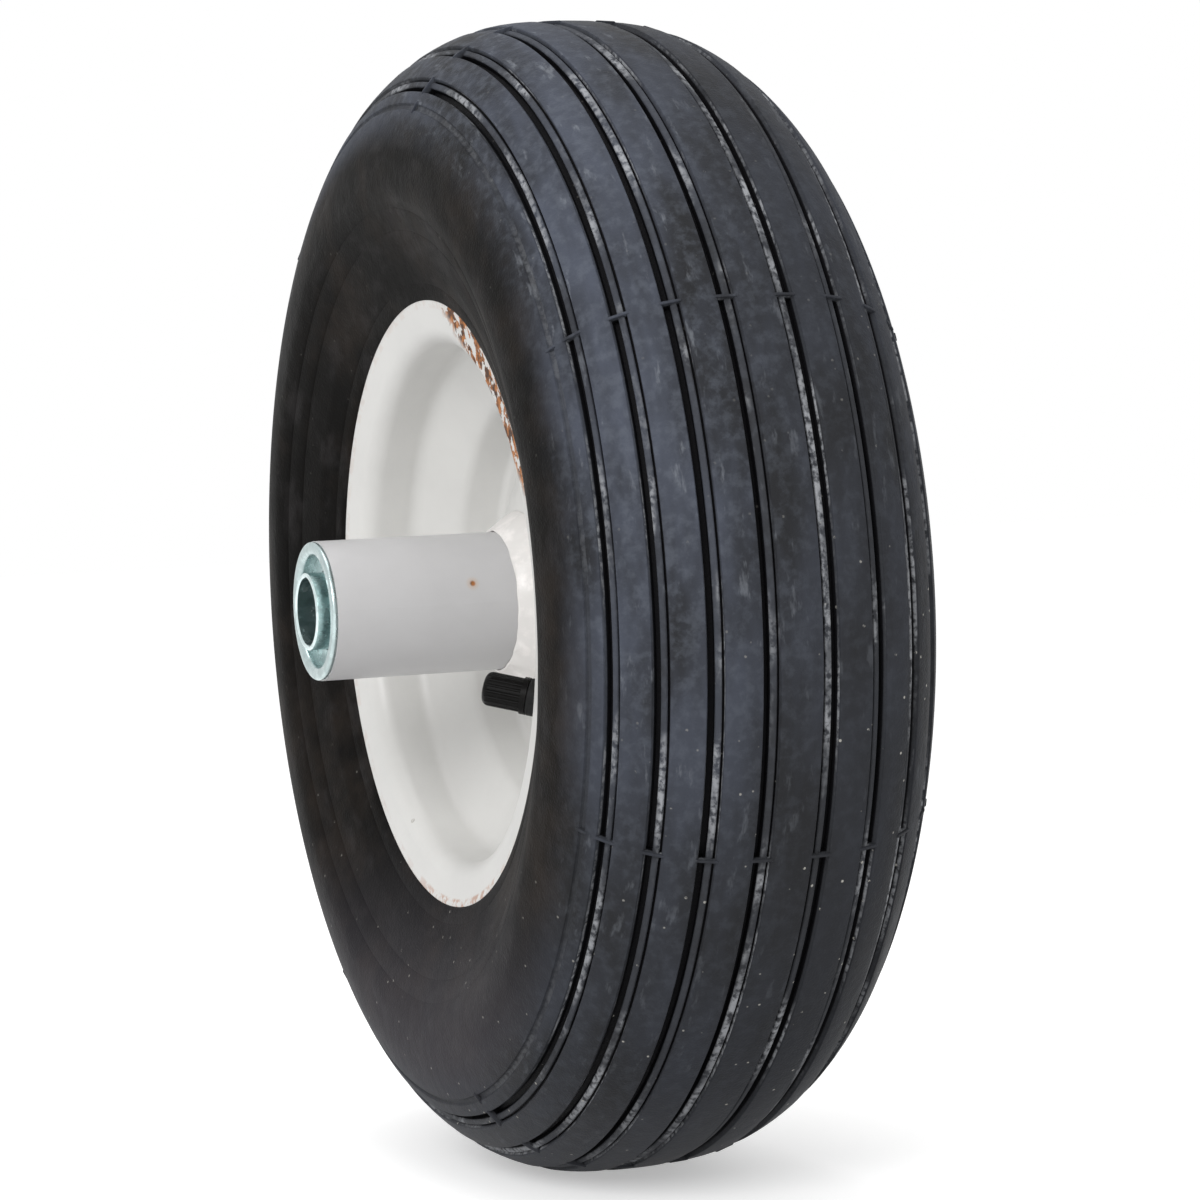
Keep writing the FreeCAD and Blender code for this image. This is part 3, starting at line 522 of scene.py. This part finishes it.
rim_paint, tree, shader, place, colour = paint("rim paint", RIM_GREY, 0.4)
there = place_group(tree, wheel_place, Place=place, Stretch=2.0)
on_flange = ramp(tree, there["Radius"], 0.0755, 0.0775)
at_edge = ramp(tree, there["Radius"], 0.0842, 0.0850)
worst = ramp(tree, combine(tree, "DOT_PRODUCT", place, CHIPPED_SIDE), 0.0710, 0.0765)
flaking = blotches(tree, place, size=4.4, low=0.47, high=0.50)
flakes = times(tree, times(tree, on_flange, worst), flaking)
colour = rust_over(tree, colour, flakes, place)
feed(tree, shader["Roughness"], calculate(tree, "MULTIPLY_ADD", flakes, 0.5, GLOSS))
lower = combine(tree, "DOT_PRODUCT", place, LOWER_SIDE)
stained = times(tree, at_edge, ramp(tree, lower, 0.074, 0.084, 0.15, 0.8))
speckled = blotches(tree, place, size=3.0, low=0.45, high=0.58)
colour = mix(tree, times(tree, stained, speckled), colour, RUST_STAIN)
feed(tree, shader["Base Color"], colour)

hub_paint, tree, shader, place, colour = paint("hub paint", HUB_GREY, 0.4)
halo = times(tree, spot(tree, place, HUB_CHIP, 2.4), 0.32)
colour = mix(tree, halo, colour, RUST_HALO)
colour = rust_over(tree, colour, spot(tree, place, HUB_CHIP, 1.1), place)
feed(tree, shader["Base Color"], colour)

# The weld's paler tone and chalk are dust and a painted highlight on its lumps.
weld_paint, tree, shader, place, colour = paint("weld paint", WELD_GREY, 0.3)
chalky = blotches(tree, place, size=5.0, low=0.45, high=0.7)
feed(tree, shader["Base Color"], mix(tree, chalky, colour, WELD_CHALK_AND_HIGHLIGHT))

# %% [markdown]
# The bearings are zinc plated: a cool, slightly green metal whose gloss is broken by a fine haze.
# The valve is black rubber with a moulded cap, and its barrel and core are brass.

# %% Metal and black parts
def metal(name, tone, low, high):
    """A plated metal whose roughness drifts between two values."""
    material, tree, shader, place = new_material(name)
    haze = blotches(tree, place, size=4.0, low=0.35, high=0.7)
    feed(tree, shader["Base Color"], mix(tree, haze, tone, tuple(value * 0.8 for value in tone)))
    feed(tree, shader["Roughness"], ramp(tree, haze, 0.0, 1.0, low, high))
    shader["Metallic"].default_value = 1.0
    fine_lines = place_group(tree, grain, Place=place, Fine=0.5, Coarse=3.0, Balance=1.0)["Height"]
    raise_surface(tree, shader, fine_lines, 0.03, 0.5)
    return material


def black_part(name, tone, low, high):
    """Dull black rubber or plastic with a little dust in it."""
    material, tree, shader, place = new_material(name)
    dust = blotches(tree, place, size=3.0, low=0.5, high=0.8)
    faint = times(tree, dust, 0.4)
    feed(tree, shader["Base Color"], mix(tree, faint, tone, tuple(value * 3 for value in tone)))
    feed(tree, shader["Roughness"], ramp(tree, dust, 0.0, 1.0, low, high))
    shader["Specular IOR Level"].default_value = 0.08
    height = place_group(tree, grain, Place=place, Fine=0.3, Coarse=2.0, Balance=1.0)["Height"]
    raise_surface(tree, shader, height, 0.03, 0.6)
    return material


zinc = metal("zinc plate", (0.50, 0.60, 0.60), 0.24, 0.38)
bright_zinc = metal("bright zinc", (0.70, 0.83, 0.83), 0.16, 0.28)
ball_steel = metal("ball steel", (0.62, 0.62, 0.63), 0.08, 0.14)
brass = metal("brass", (0.72, 0.52, 0.22), 0.22, 0.34)
cap_black = black_part("cap plastic", (0.0045, 0.0042, 0.0040), 0.34, 0.5)
valve_black = black_part("valve rubber", (0.014, 0.014, 0.014), 0.5, 0.62)
tube_black = black_part("tube rubber", (0.020, 0.020, 0.021), 0.55, 0.7)
seal_red = black_part("seal rubber", (0.10, 0.016, 0.012), 0.5, 0.6)


def coat_with(piece, material):
    """Give a piece one material all over."""
    piece.data.materials.clear()
    piece.data.materials.append(material)


FINISHES = {
    "tyre": rubber, "inner_tube": tube_black,
    "rim_front": rim_paint, "rim_rear": rim_paint, "hub_tube": hub_paint,
    "hub_weld_front": weld_paint, "hub_weld_rear": weld_paint,
    "bearing_cup_front": zinc, "bearing_cup_rear": zinc,
    "bearing_shield_front": zinc, "bearing_shield_rear": zinc,
    "bearing_ring_front": bright_zinc, "bearing_ring_rear": bright_zinc,
    "bearing_balls_front": ball_steel, "bearing_balls_rear": ball_steel,
    "valve_stem": valve_black, "valve_barrel": brass, "valve_cap": cap_black,
    "core_housing": brass, "core_pin": brass, "core_seal": seal_red, "core_spring": ball_steel,
}
for name, finish in FINISHES.items():
    coat_with(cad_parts[name], finish)
print("finishes on", len(FINISHES), "of", len(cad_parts), "pieces")

# %% [markdown]
# The tyre is the piece that fills the picture. Its outside is three arcs that meet smoothly: a
# gently curved crown, a round shoulder and the flank down to the rim. The helper below walks along
# that skin from the middle of the tread, so a groove can be cut square to the surface wherever it
# lies. The numbers are the engineering model's own.

# %% The tyre's skin
TREAD_RADIUS = 165.0
HALF_WIDTH = 53.5
WIDEST_RADIUS = 121.0
RISE = TREAD_RADIUS - WIDEST_RADIUS
SHOULDER = RISE - 0.4
SHOULDER_ALONG = HALF_WIDTH - SHOULDER
CROWN = (RISE ** 2 + HALF_WIDTH ** 2 - 2 * HALF_WIDTH * SHOULDER) / (2 * (RISE - SHOULDER))
CROWN_TURN = math.asin(SHOULDER_ALONG / (CROWN - SHOULDER))
CROWN_RUN = CROWN * CROWN_TURN
SKIN_RUN = CROWN_RUN + SHOULDER * (math.pi / 2 - CROWN_TURN)


def skin(run, height=0.0):
    """A point above the skin, so far round from the middle of the tread."""
    if run < CROWN_RUN:
        turned, curve = run / CROWN, CROWN
        centre = (TREAD_RADIUS - CROWN, 0.0)
    else:
        turned, curve = CROWN_TURN + (run - CROWN_RUN) / SHOULDER, SHOULDER
        centre = (WIDEST_RADIUS, SHOULDER_ALONG)
    return (centre[0] + (curve + height) * math.cos(turned), centre[1] + (curve + height) * math.sin(turned))


def run_to(offset):
    """How far round the skin a distance along the axle lies."""
    if offset < CROWN * math.sin(CROWN_TURN):
        return CROWN * math.asin(offset / CROWN)
    turned = math.asin((offset - SHOULDER_ALONG) / SHOULDER)
    return CROWN_RUN + (turned - CROWN_TURN) * SHOULDER


print("crown curve", round(CROWN, 1), "mm, skin", round(SKIN_RUN, 1), "mm to the widest point")

# %% [markdown]
# Four deep grooves and one shallow line run round each half of the tread. Each groove has a deep
# slot on its outer side, a low ridge and a hairline on its inner side, so that the ridge shows as a
# grey band beside the black. The groove's edges are slightly rounded. The flank carries a few very
# low rings, as a mould's turned face leaves them.

# %% Tread grooves and sidewall rings
GROOVE_SHARES = (0.152, 0.42, 0.652, 0.832)
LINE_SHARE = 0.905
DEEP = ((-2.8, 0.0), (-2.45, -0.08), (-2.25, -0.35), (-2.1, -1.9), (-1.65, -1.9),
        (-1.45, -0.85), (-1.15, -0.65), (0.05, -0.9), (0.3, -1.15), (0.5, -3.0),
        (2.0, -3.0), (2.3, -0.4), (2.5, -0.08), (2.8, 0.0))
SHALLOW = ((-1.5, 0.0), (-1.05, -0.1), (-0.6, -0.8), (-0.3, -0.9),
           (0.3, -0.9), (0.6, -0.8), (1.05, -0.1), (1.5, 0.0))
RIB_STEP = 2.6
SIDE_STEPS = 9
grooves = [(run_to(HALF_WIDTH * share), DEEP) for share in GROOVE_SHARES]
grooves.append((run_to(HALF_WIDTH * LINE_SHARE), SHALLOW))


def tread_points():
    """The skin from the middle to the widest point, with its grooves."""
    points = []
    run = 0.0
    for middle, shape in grooves:
        start = middle + shape[0][0]
        count = max(2, round((start - run) / RIB_STEP))
        points += [skin(run + (start - run) * i / count) for i in range(count)]
        points += [skin(middle + aside, height) for aside, height in shape]
        run = middle + shape[-1][0]
    points += [skin(run + (SKIN_RUN - run) * i / SIDE_STEPS) for i in range(1, SIDE_STEPS)]
    return points


LIP_RADIUS, LIP_OFFSET = 86.0, 40.9
FLANK = 14.0
FLANK_TURN = math.radians(21)
FLANK_SHARES = (0.0, 0.25, 0.5, 0.75)
FOOT_RINGS = ((0.0, 0.0), (0.08, 0.0), (0.10, -0.25), (0.12, 0.0), (0.30, -0.1), (0.32, -0.35),
              (0.34, -0.1), (0.58, -0.15), (0.62, 0.1), (0.66, -0.15), (0.82, -0.2), (0.85, -0.5),
              (0.88, -0.2))


def flank(turned):
    """A point of the flank's arc, turned so far down from the widest point."""
    return (WIDEST_RADIUS - FLANK * math.sin(turned), HALF_WIDTH - FLANK + FLANK * math.cos(turned))


def flank_points():
    """The flank: an arc below the widest point, then almost straight down to the rim's lip."""
    points = []
    for share in FLANK_SHARES:
        points.append(flank(FLANK_TURN * share))
    top = flank(FLANK_TURN)
    foot = (LIP_RADIUS + 1.2, LIP_OFFSET + 0.5)
    for share, height in FOOT_RINGS:
        across = top[0] + (foot[0] - top[0]) * share
        points.append((across, top[1] + (foot[1] - top[1]) * share + height))
    return points + [foot, (LIP_RADIUS + 0.5, LIP_OFFSET - 0.3)]


# %% [markdown]
# The rest of the section is the inside: down the bead that sits on the rim, then back up to the
# middle under an even wall. Half of it is written down and mirrored, and the whole is turned.

# %% The whole tyre
WALL = 7.0
INSIDE_STEPS = 6
INNER_FOOT = (86.8, 25.9)
bead = [(86.5, 39.0), (83.0, 36.6), (80.0, 35.9), (77.6, 34.6), (76.35, 31.5), (76.3, 22.9)]
bead.append(INNER_FOOT)
inner_fall = WIDEST_RADIUS - INNER_FOOT[0]
inner_step = HALF_WIDTH - WALL - INNER_FOOT[1]
inner_curve = (inner_fall ** 2 + inner_step ** 2) / (2 * inner_step)
inner_turn = math.degrees(math.asin(inner_fall / inner_curve))
inner_centre = (WIDEST_RADIUS, HALF_WIDTH - WALL - inner_curve)
inside = arc(inner_centre, inner_curve, 90 + inner_turn, 90, INSIDE_STEPS)[1:]
for i in range(1, INSIDE_STEPS + 1):
    inside.append(skin(SKIN_RUN - (SKIN_RUN - CROWN_RUN) * i / INSIDE_STEPS, -WALL))
half_tyre = tread_points() + flank_points() + bead + inside
tyre_section = half_tyre + [skin(0.0, -WALL)] + mirrored(half_tyre)[:0:-1]
dressed_tyre = turn("dressed_tyre", tyre_section, steps=240)
coat_with(dressed_tyre, rubber)
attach(dressed_tyre, "wheel")
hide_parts("tyre")

# %% [markdown]
# Where the mould's segments met, thin fins of rubber bridge each groove, seven times round the
# tyre. One fin per groove is drawn as a small face and extruded to its thickness. Spin can also
# copy instead of sweep, so the whole row of fins is then repeated round the axle in one step.

# %% Mould fins across the grooves
FIN_SHAPE = ((-3.4, -0.25), (-2.6, 0.32), (2.6, 0.32), (3.4, -0.25), (1.4, -3.2), (-1.4, -3.2))
SMALL_FIN = ((-2.2, -0.25), (-1.6, 0.3), (1.6, 0.3), (2.2, -0.25), (0.6, -1.1), (-0.6, -1.1))
FIN_THICK = 0.75
FIN_EDGE = 0.14
FIN_ROWS = 7
FIN_TURN = 27.6


def fin(name, outline):
    """One fin as a thin plate that stands across a groove."""
    piece = pencil(name, outline[0])
    draw_to(outline[0], outline[1:])
    bpy.ops.mesh.select_all(action="SELECT")
    bpy.ops.mesh.edge_face_add()
    bpy.ops.transform.translate(value=(0, 0, -FIN_THICK / 2 * MM))
    bpy.ops.mesh.extrude_region_move(TRANSFORM_OT_translate={"value": (0, 0, FIN_THICK * MM)})
    bpy.ops.mesh.select_all(action="SELECT")
    bpy.ops.mesh.bevel(offset=FIN_EDGE * MM, segments=2, affect="EDGES")
    finish_edit()
    return piece


fins = []
for middle, shape in grooves:
    outline = FIN_SHAPE if shape is DEEP else SMALL_FIN
    for side in (1, -1):
        points = [skin(middle + aside, height) for aside, height in outline]
        points = [(across, along * side) for across, along in points]
        fins.append(fin(f"fin_{len(fins)}", points))
for piece in fins:
    piece.select_set(True)
mould_fins = fins[0]
bpy.context.view_layer.objects.active = mould_fins
bpy.ops.object.join()
mould_fins.name = "mould_fins"
start_edit()
bpy.ops.mesh.select_all(action="SELECT")
bpy.ops.mesh.spin(steps=FIN_ROWS - 1, angle=math.tau * (FIN_ROWS - 1) / FIN_ROWS, dupli=True,
                  center=(0, 0, 0), axis=(0, 1, 0))
close_up()
mould_fins.rotation_euler = (0, -math.radians(FIN_TURN), 0)
bpy.ops.object.transform_apply(location=True, rotation=True, scale=True)
bpy.ops.object.shade_smooth_by_angle(angle=math.radians(35))
mould_fins.select_set(False)
coat_with(mould_fins, rubber)
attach(mould_fins, "wheel")
print("mould fins:", len(mould_fins.data.polygons), "faces")

# %% [markdown]
# The rim is two pressed halves that meet back to back. A pressing has one thickness everywhere, so
# only its open face is written down, and the back is the same line moved by the sheet's gauge. The
# bends are rounded, and the lip's edge is round where the press has drawn it.

# %% Pressed rim halves
GAUGE = 2.0
FACE = [(19.9, 18.0), (49.0, 2.0), (54.8, 2.0), (58.5, 13.4), (73.4, 22.8), (74.3, 38.9),
        (LIP_RADIUS - 1.4, LIP_OFFSET - 0.5), (LIP_RADIUS, LIP_OFFSET)]
FACE_BENDS = (8.0, 3.0, 6.0, 6.0, 6.5, 0.0)
BACK_BENDS = (6.0, 1.0, 8.0, 8.0, 4.5, 0.0)
back = beside(FACE, -GAUGE)
lip_middle = ((FACE[-1][0] + back[-1][0]) / 2, (FACE[-1][1] + back[-1][1]) / 2)
lip_edge = arc(lip_middle, GAUGE / 2, 110, -70, 6)
rim_section = rounded(FACE, FACE_BENDS, 5) + lip_edge[1:-1] + rounded(back, BACK_BENDS, 5)[::-1]

# %% [markdown]
# The front half has the hole for the valve. A cylinder stands in the valve's direction, a Boolean
# modifier cuts it out of the sheet, and the cylinder is then removed.

# %% Both halves, and the valve's hole
VALVE_HOLE, HOLE_RADIUS, DRILL_LENGTH = (58.762, -18.1, -29.941), 5.8, 14
VALVE_WAY = Vector((-0.475411, -0.845759, 0.242234))

VALVE_TURN = VALVE_WAY.to_track_quat("Z", "Y").to_euler()
dressed_rims = {"rear": turn("dressed_rim_rear", rim_section, steps=200),
                "front": turn("dressed_rim_front", mirrored(rim_section), steps=200)}
bpy.ops.mesh.primitive_cylinder_add(
    vertices=48, radius=HOLE_RADIUS * MM, depth=DRILL_LENGTH * MM,
    location=[value * MM for value in VALVE_HOLE], rotation=VALVE_TURN)
drill = bpy.context.object
front = dressed_rims["front"]
bpy.ops.object.select_all(action="DESELECT")
bpy.context.view_layer.objects.active = front
front.select_set(True)
hole = front.modifiers.new("valve hole", "BOOLEAN")
hole.object = drill
hole.solver = "EXACT"
bpy.ops.object.modifier_apply(modifier=hole.name)
bpy.data.objects.remove(drill)
front.select_set(False)
for side, piece in dressed_rims.items():
    coat_with(piece, rim_paint)
    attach(piece, "wheel")
    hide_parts(f"rim_{side}")
    print(piece.name, len(piece.data.polygons), "faces")

# %% [markdown]
# Deep in the valve sits the spring that keeps its pin shut. The engineering model has it as a plain
# sleeve, so here it is wound: a small round wire carried along a screw path with Blender's Screw
# modifier, with its ends closed. It is pressed together when the pin goes in, so it rides the wheel
# and is squashed towards its foot by the share that the pin travels.

# %% The valve's spring
SPRING_MIDDLE = Vector((49.2299, -35.0575, -25.0839))
SPRING_HEIGHT, SPRING_RADIUS, PIN_TRAVEL = 7.8, 0.975, 1.1
WIRE, WIRE_SIDES, COILS, COIL_STEPS = 0.14, 10, 8, 36
bpy.ops.mesh.primitive_circle_add(
    vertices=WIRE_SIDES, radius=WIRE * MM, location=(SPRING_RADIUS * MM, 0, 0),
    rotation=(math.radians(90), 0, 0))
spring = bpy.context.object
spring.name = "wound_spring"
bpy.ops.object.transform_apply(location=True, rotation=True, scale=True)
bpy.ops.object.modifier_add(type="SCREW")
winding = spring.modifiers[-1]
winding.steps = winding.render_steps = COIL_STEPS
winding.iterations = COILS
winding.screw_offset = (SPRING_HEIGHT - 2 * WIRE) / COILS * MM
bpy.ops.object.modifier_apply(modifier=winding.name)
start_edit()
bpy.ops.mesh.select_all(action="SELECT")
bpy.ops.mesh.fill_holes(sides=WIRE_SIDES)
bpy.ops.mesh.select_all(action="SELECT")
bpy.ops.mesh.normals_make_consistent(inside=False)
finish_edit()
foot = SPRING_MIDDLE - VALVE_WAY * (SPRING_HEIGHT / 2)
spring.location = (foot + VALVE_WAY * WIRE) * MM
spring.rotation_euler = VALVE_TURN
bpy.ops.object.transform_apply(location=True, rotation=True, scale=True)
bpy.ops.object.shade_smooth()
coat_with(spring, ball_steel)
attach(spring, "wheel")
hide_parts("core_spring")
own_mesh(spring)
print("spring", COILS, "coils,", len(spring.data.polygons), "faces")

# %% [markdown]
# Each half is welded to the hub tube by hand. A weld bead is never even, so a plain ring is turned
# first, its points are shaken a little with a fixed seed, and a subdivision surface smooths the
# result into lumps.

# %% Lumpy weld beads
BEAD = [(19.7, 17.4), (26.0, 14.2), (25.6, 16.0), (23.6, 18.6), (21.8, 21.2), (20.5, 23.0), (19.7, 23.6)]
LUMPS = 0.55
for side, section in (("rear", BEAD), ("front", mirrored(BEAD))):
    bead_ring = turn(f"weld_bead_{side}", section, steps=66)
    bead_ring.select_set(True)
    bpy.context.view_layer.objects.active = bead_ring
    start_edit()
    bpy.ops.mesh.select_all(action="SELECT")
    bpy.ops.transform.vertex_random(offset=LUMPS * MM, seed=7)
    finish_edit()
    smoother = bead_ring.modifiers.new("smooth lumps", "SUBSURF")
    smoother.levels = 2
    bpy.ops.object.modifier_apply(modifier=smoother.name)
    bpy.ops.object.shade_smooth()
    bead_ring.select_set(False)
    coat_with(bead_ring, weld_paint)
    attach(bead_ring, "wheel")
    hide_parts(f"hub_weld_{side}")

# %% [markdown]
# The bearing's outer shell is pressed from sheet, so the flange that closes the tube's end has soft
# edges inside and out. The section keeps the model's own sleeve, ball groove and floor.

# %% Bearing shells
ball_groove = arc((13.228, 69.6), 2.878, 46.5, -46.5, 8)
cup_section = rounded([(17.45, 76.22), (19.6, 76.22), (19.6, 77.7), (15.9, 77.7), (15.9, 73.13)],
                      (0.2, 0.75, 1.4), 4)
cup_section += [(15.2, 73.13)] + ball_groove
cup_section += [(15.2, 65.72), (11.9, 65.72), (11.9, 64.52), (17.45, 64.52)]
for side, section in (("rear", cup_section), ("front", mirrored(cup_section))):
    shell = turn(f"bearing_shell_{side}", section, steps=96)
    coat_with(shell, zinc)
    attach(shell, "wheel")
    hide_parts(f"bearing_cup_{side}")

# %% [markdown]
# The camera is set from the photograph: a long lens about a metre away, almost level with the
# axle, looking at the tread with the valve side turned a little towards it. The axle's direction
# in the picture fixes the camera's turn, so the values below are that direction and the place of
# the wheel's centre, both measured from the camera.

# %% Camera
PICTURE_WIDTH = 1200
SENSOR_WIDTH = 36
focal_pixels = 3787.0
axle_right, axle_up = -0.9327, -0.0560
centre_right, centre_up, centre_away = -8.77, 1.11, 1097.9

axle_near = math.sqrt(1 - axle_right ** 2 - axle_up ** 2)
valve_side = Vector((axle_right, axle_up, axle_near))
upright = Vector((0, 1, 0)) - valve_side * axle_up
upright.normalize()
towards = upright.cross(valve_side)
row_axes = Matrix((towards, -valve_side, upright))
centre = Vector((centre_right, centre_up, -centre_away)) * MM
place = row_axes @ -centre
camera_data = bpy.data.cameras.new("camera")
camera_data.sensor_width = SENSOR_WIDTH
camera_data.lens = focal_pixels / PICTURE_WIDTH * SENSOR_WIDTH
camera_data.clip_start = 0.01
camera = bpy.data.objects.new("camera", camera_data)
bpy.context.scene.collection.objects.link(camera)
camera.matrix_world = Matrix.Translation(place) @ row_axes.to_4x4()
bpy.context.scene.camera = camera
print("camera at", [round(value, 3) for value in place])

# %% [markdown]
# The photograph is cut out on white, so the floor and the world look white to the camera and
# still take a soft shadow. Polished zinc mirrors its surroundings, so a reflected ray sees the
# same white. Lamps are large and soft, as in a studio, and the main one stands on the valve's side.

# %% Floor, world and lamps
def bright_ray(tree):
    """1 for a ray that comes from the camera or a mirror, and 0 for one that lights a surface."""
    ray = tree.nodes.new("ShaderNodeLightPath")
    mirror = calculate(tree, "MAXIMUM", ray.outputs["Is Glossy Ray"], ray.outputs["Is Transmission Ray"])
    return calculate(tree, "MAXIMUM", ray.outputs["Is Camera Ray"], mirror)


bpy.ops.mesh.primitive_plane_add(size=60, location=(0, 0, cad_box[0][2]))
floor = bpy.context.object
floor.name = "floor"
floor_white, tree, shader, place = new_material("floor white")
shader["Base Color"].default_value = (0.8, 0.8, 0.8, 1)
shader["Roughness"].default_value = 0.9
shader["Specular IOR Level"].default_value = 0.0
shader["Emission Color"].default_value = (1, 1, 1, 1)
feed(tree, shader["Emission Strength"], times(tree, bright_ray(tree), 0.41))
coat_with(floor, floor_white)

world = bpy.data.worlds.new("studio")
world.use_nodes = True
bpy.context.scene.world = world
tree = world.node_tree
background = tree.nodes["Background"].inputs
background["Color"].default_value = (1, 1, 1, 1)
feed(tree, background["Strength"], ramp(tree, bright_ray(tree), 0.0, 1.0, 0.80, 1.0))


def lamp(name, place, size, power):
    """A soft square lamp that looks at the wheel's centre."""
    data = bpy.data.lights.new(name, "AREA")
    data.size = size
    data.energy = power
    light = bpy.data.objects.new(name, data)
    light.location = place
    light.rotation_euler = (-Vector(place)).to_track_quat("-Z", "Y").to_euler()
    bpy.context.scene.collection.objects.link(light)


lamp("key", (1.3, -1.2, 0.9), size=0.9, power=19)
lamp("fill", (1.5, 0.6, 0.5), size=1.2, power=3)
lamp("top", (-0.1, -0.1, 1.6), size=0.9, power=8)
bpy.context.scene.view_settings.view_transform = "Standard"
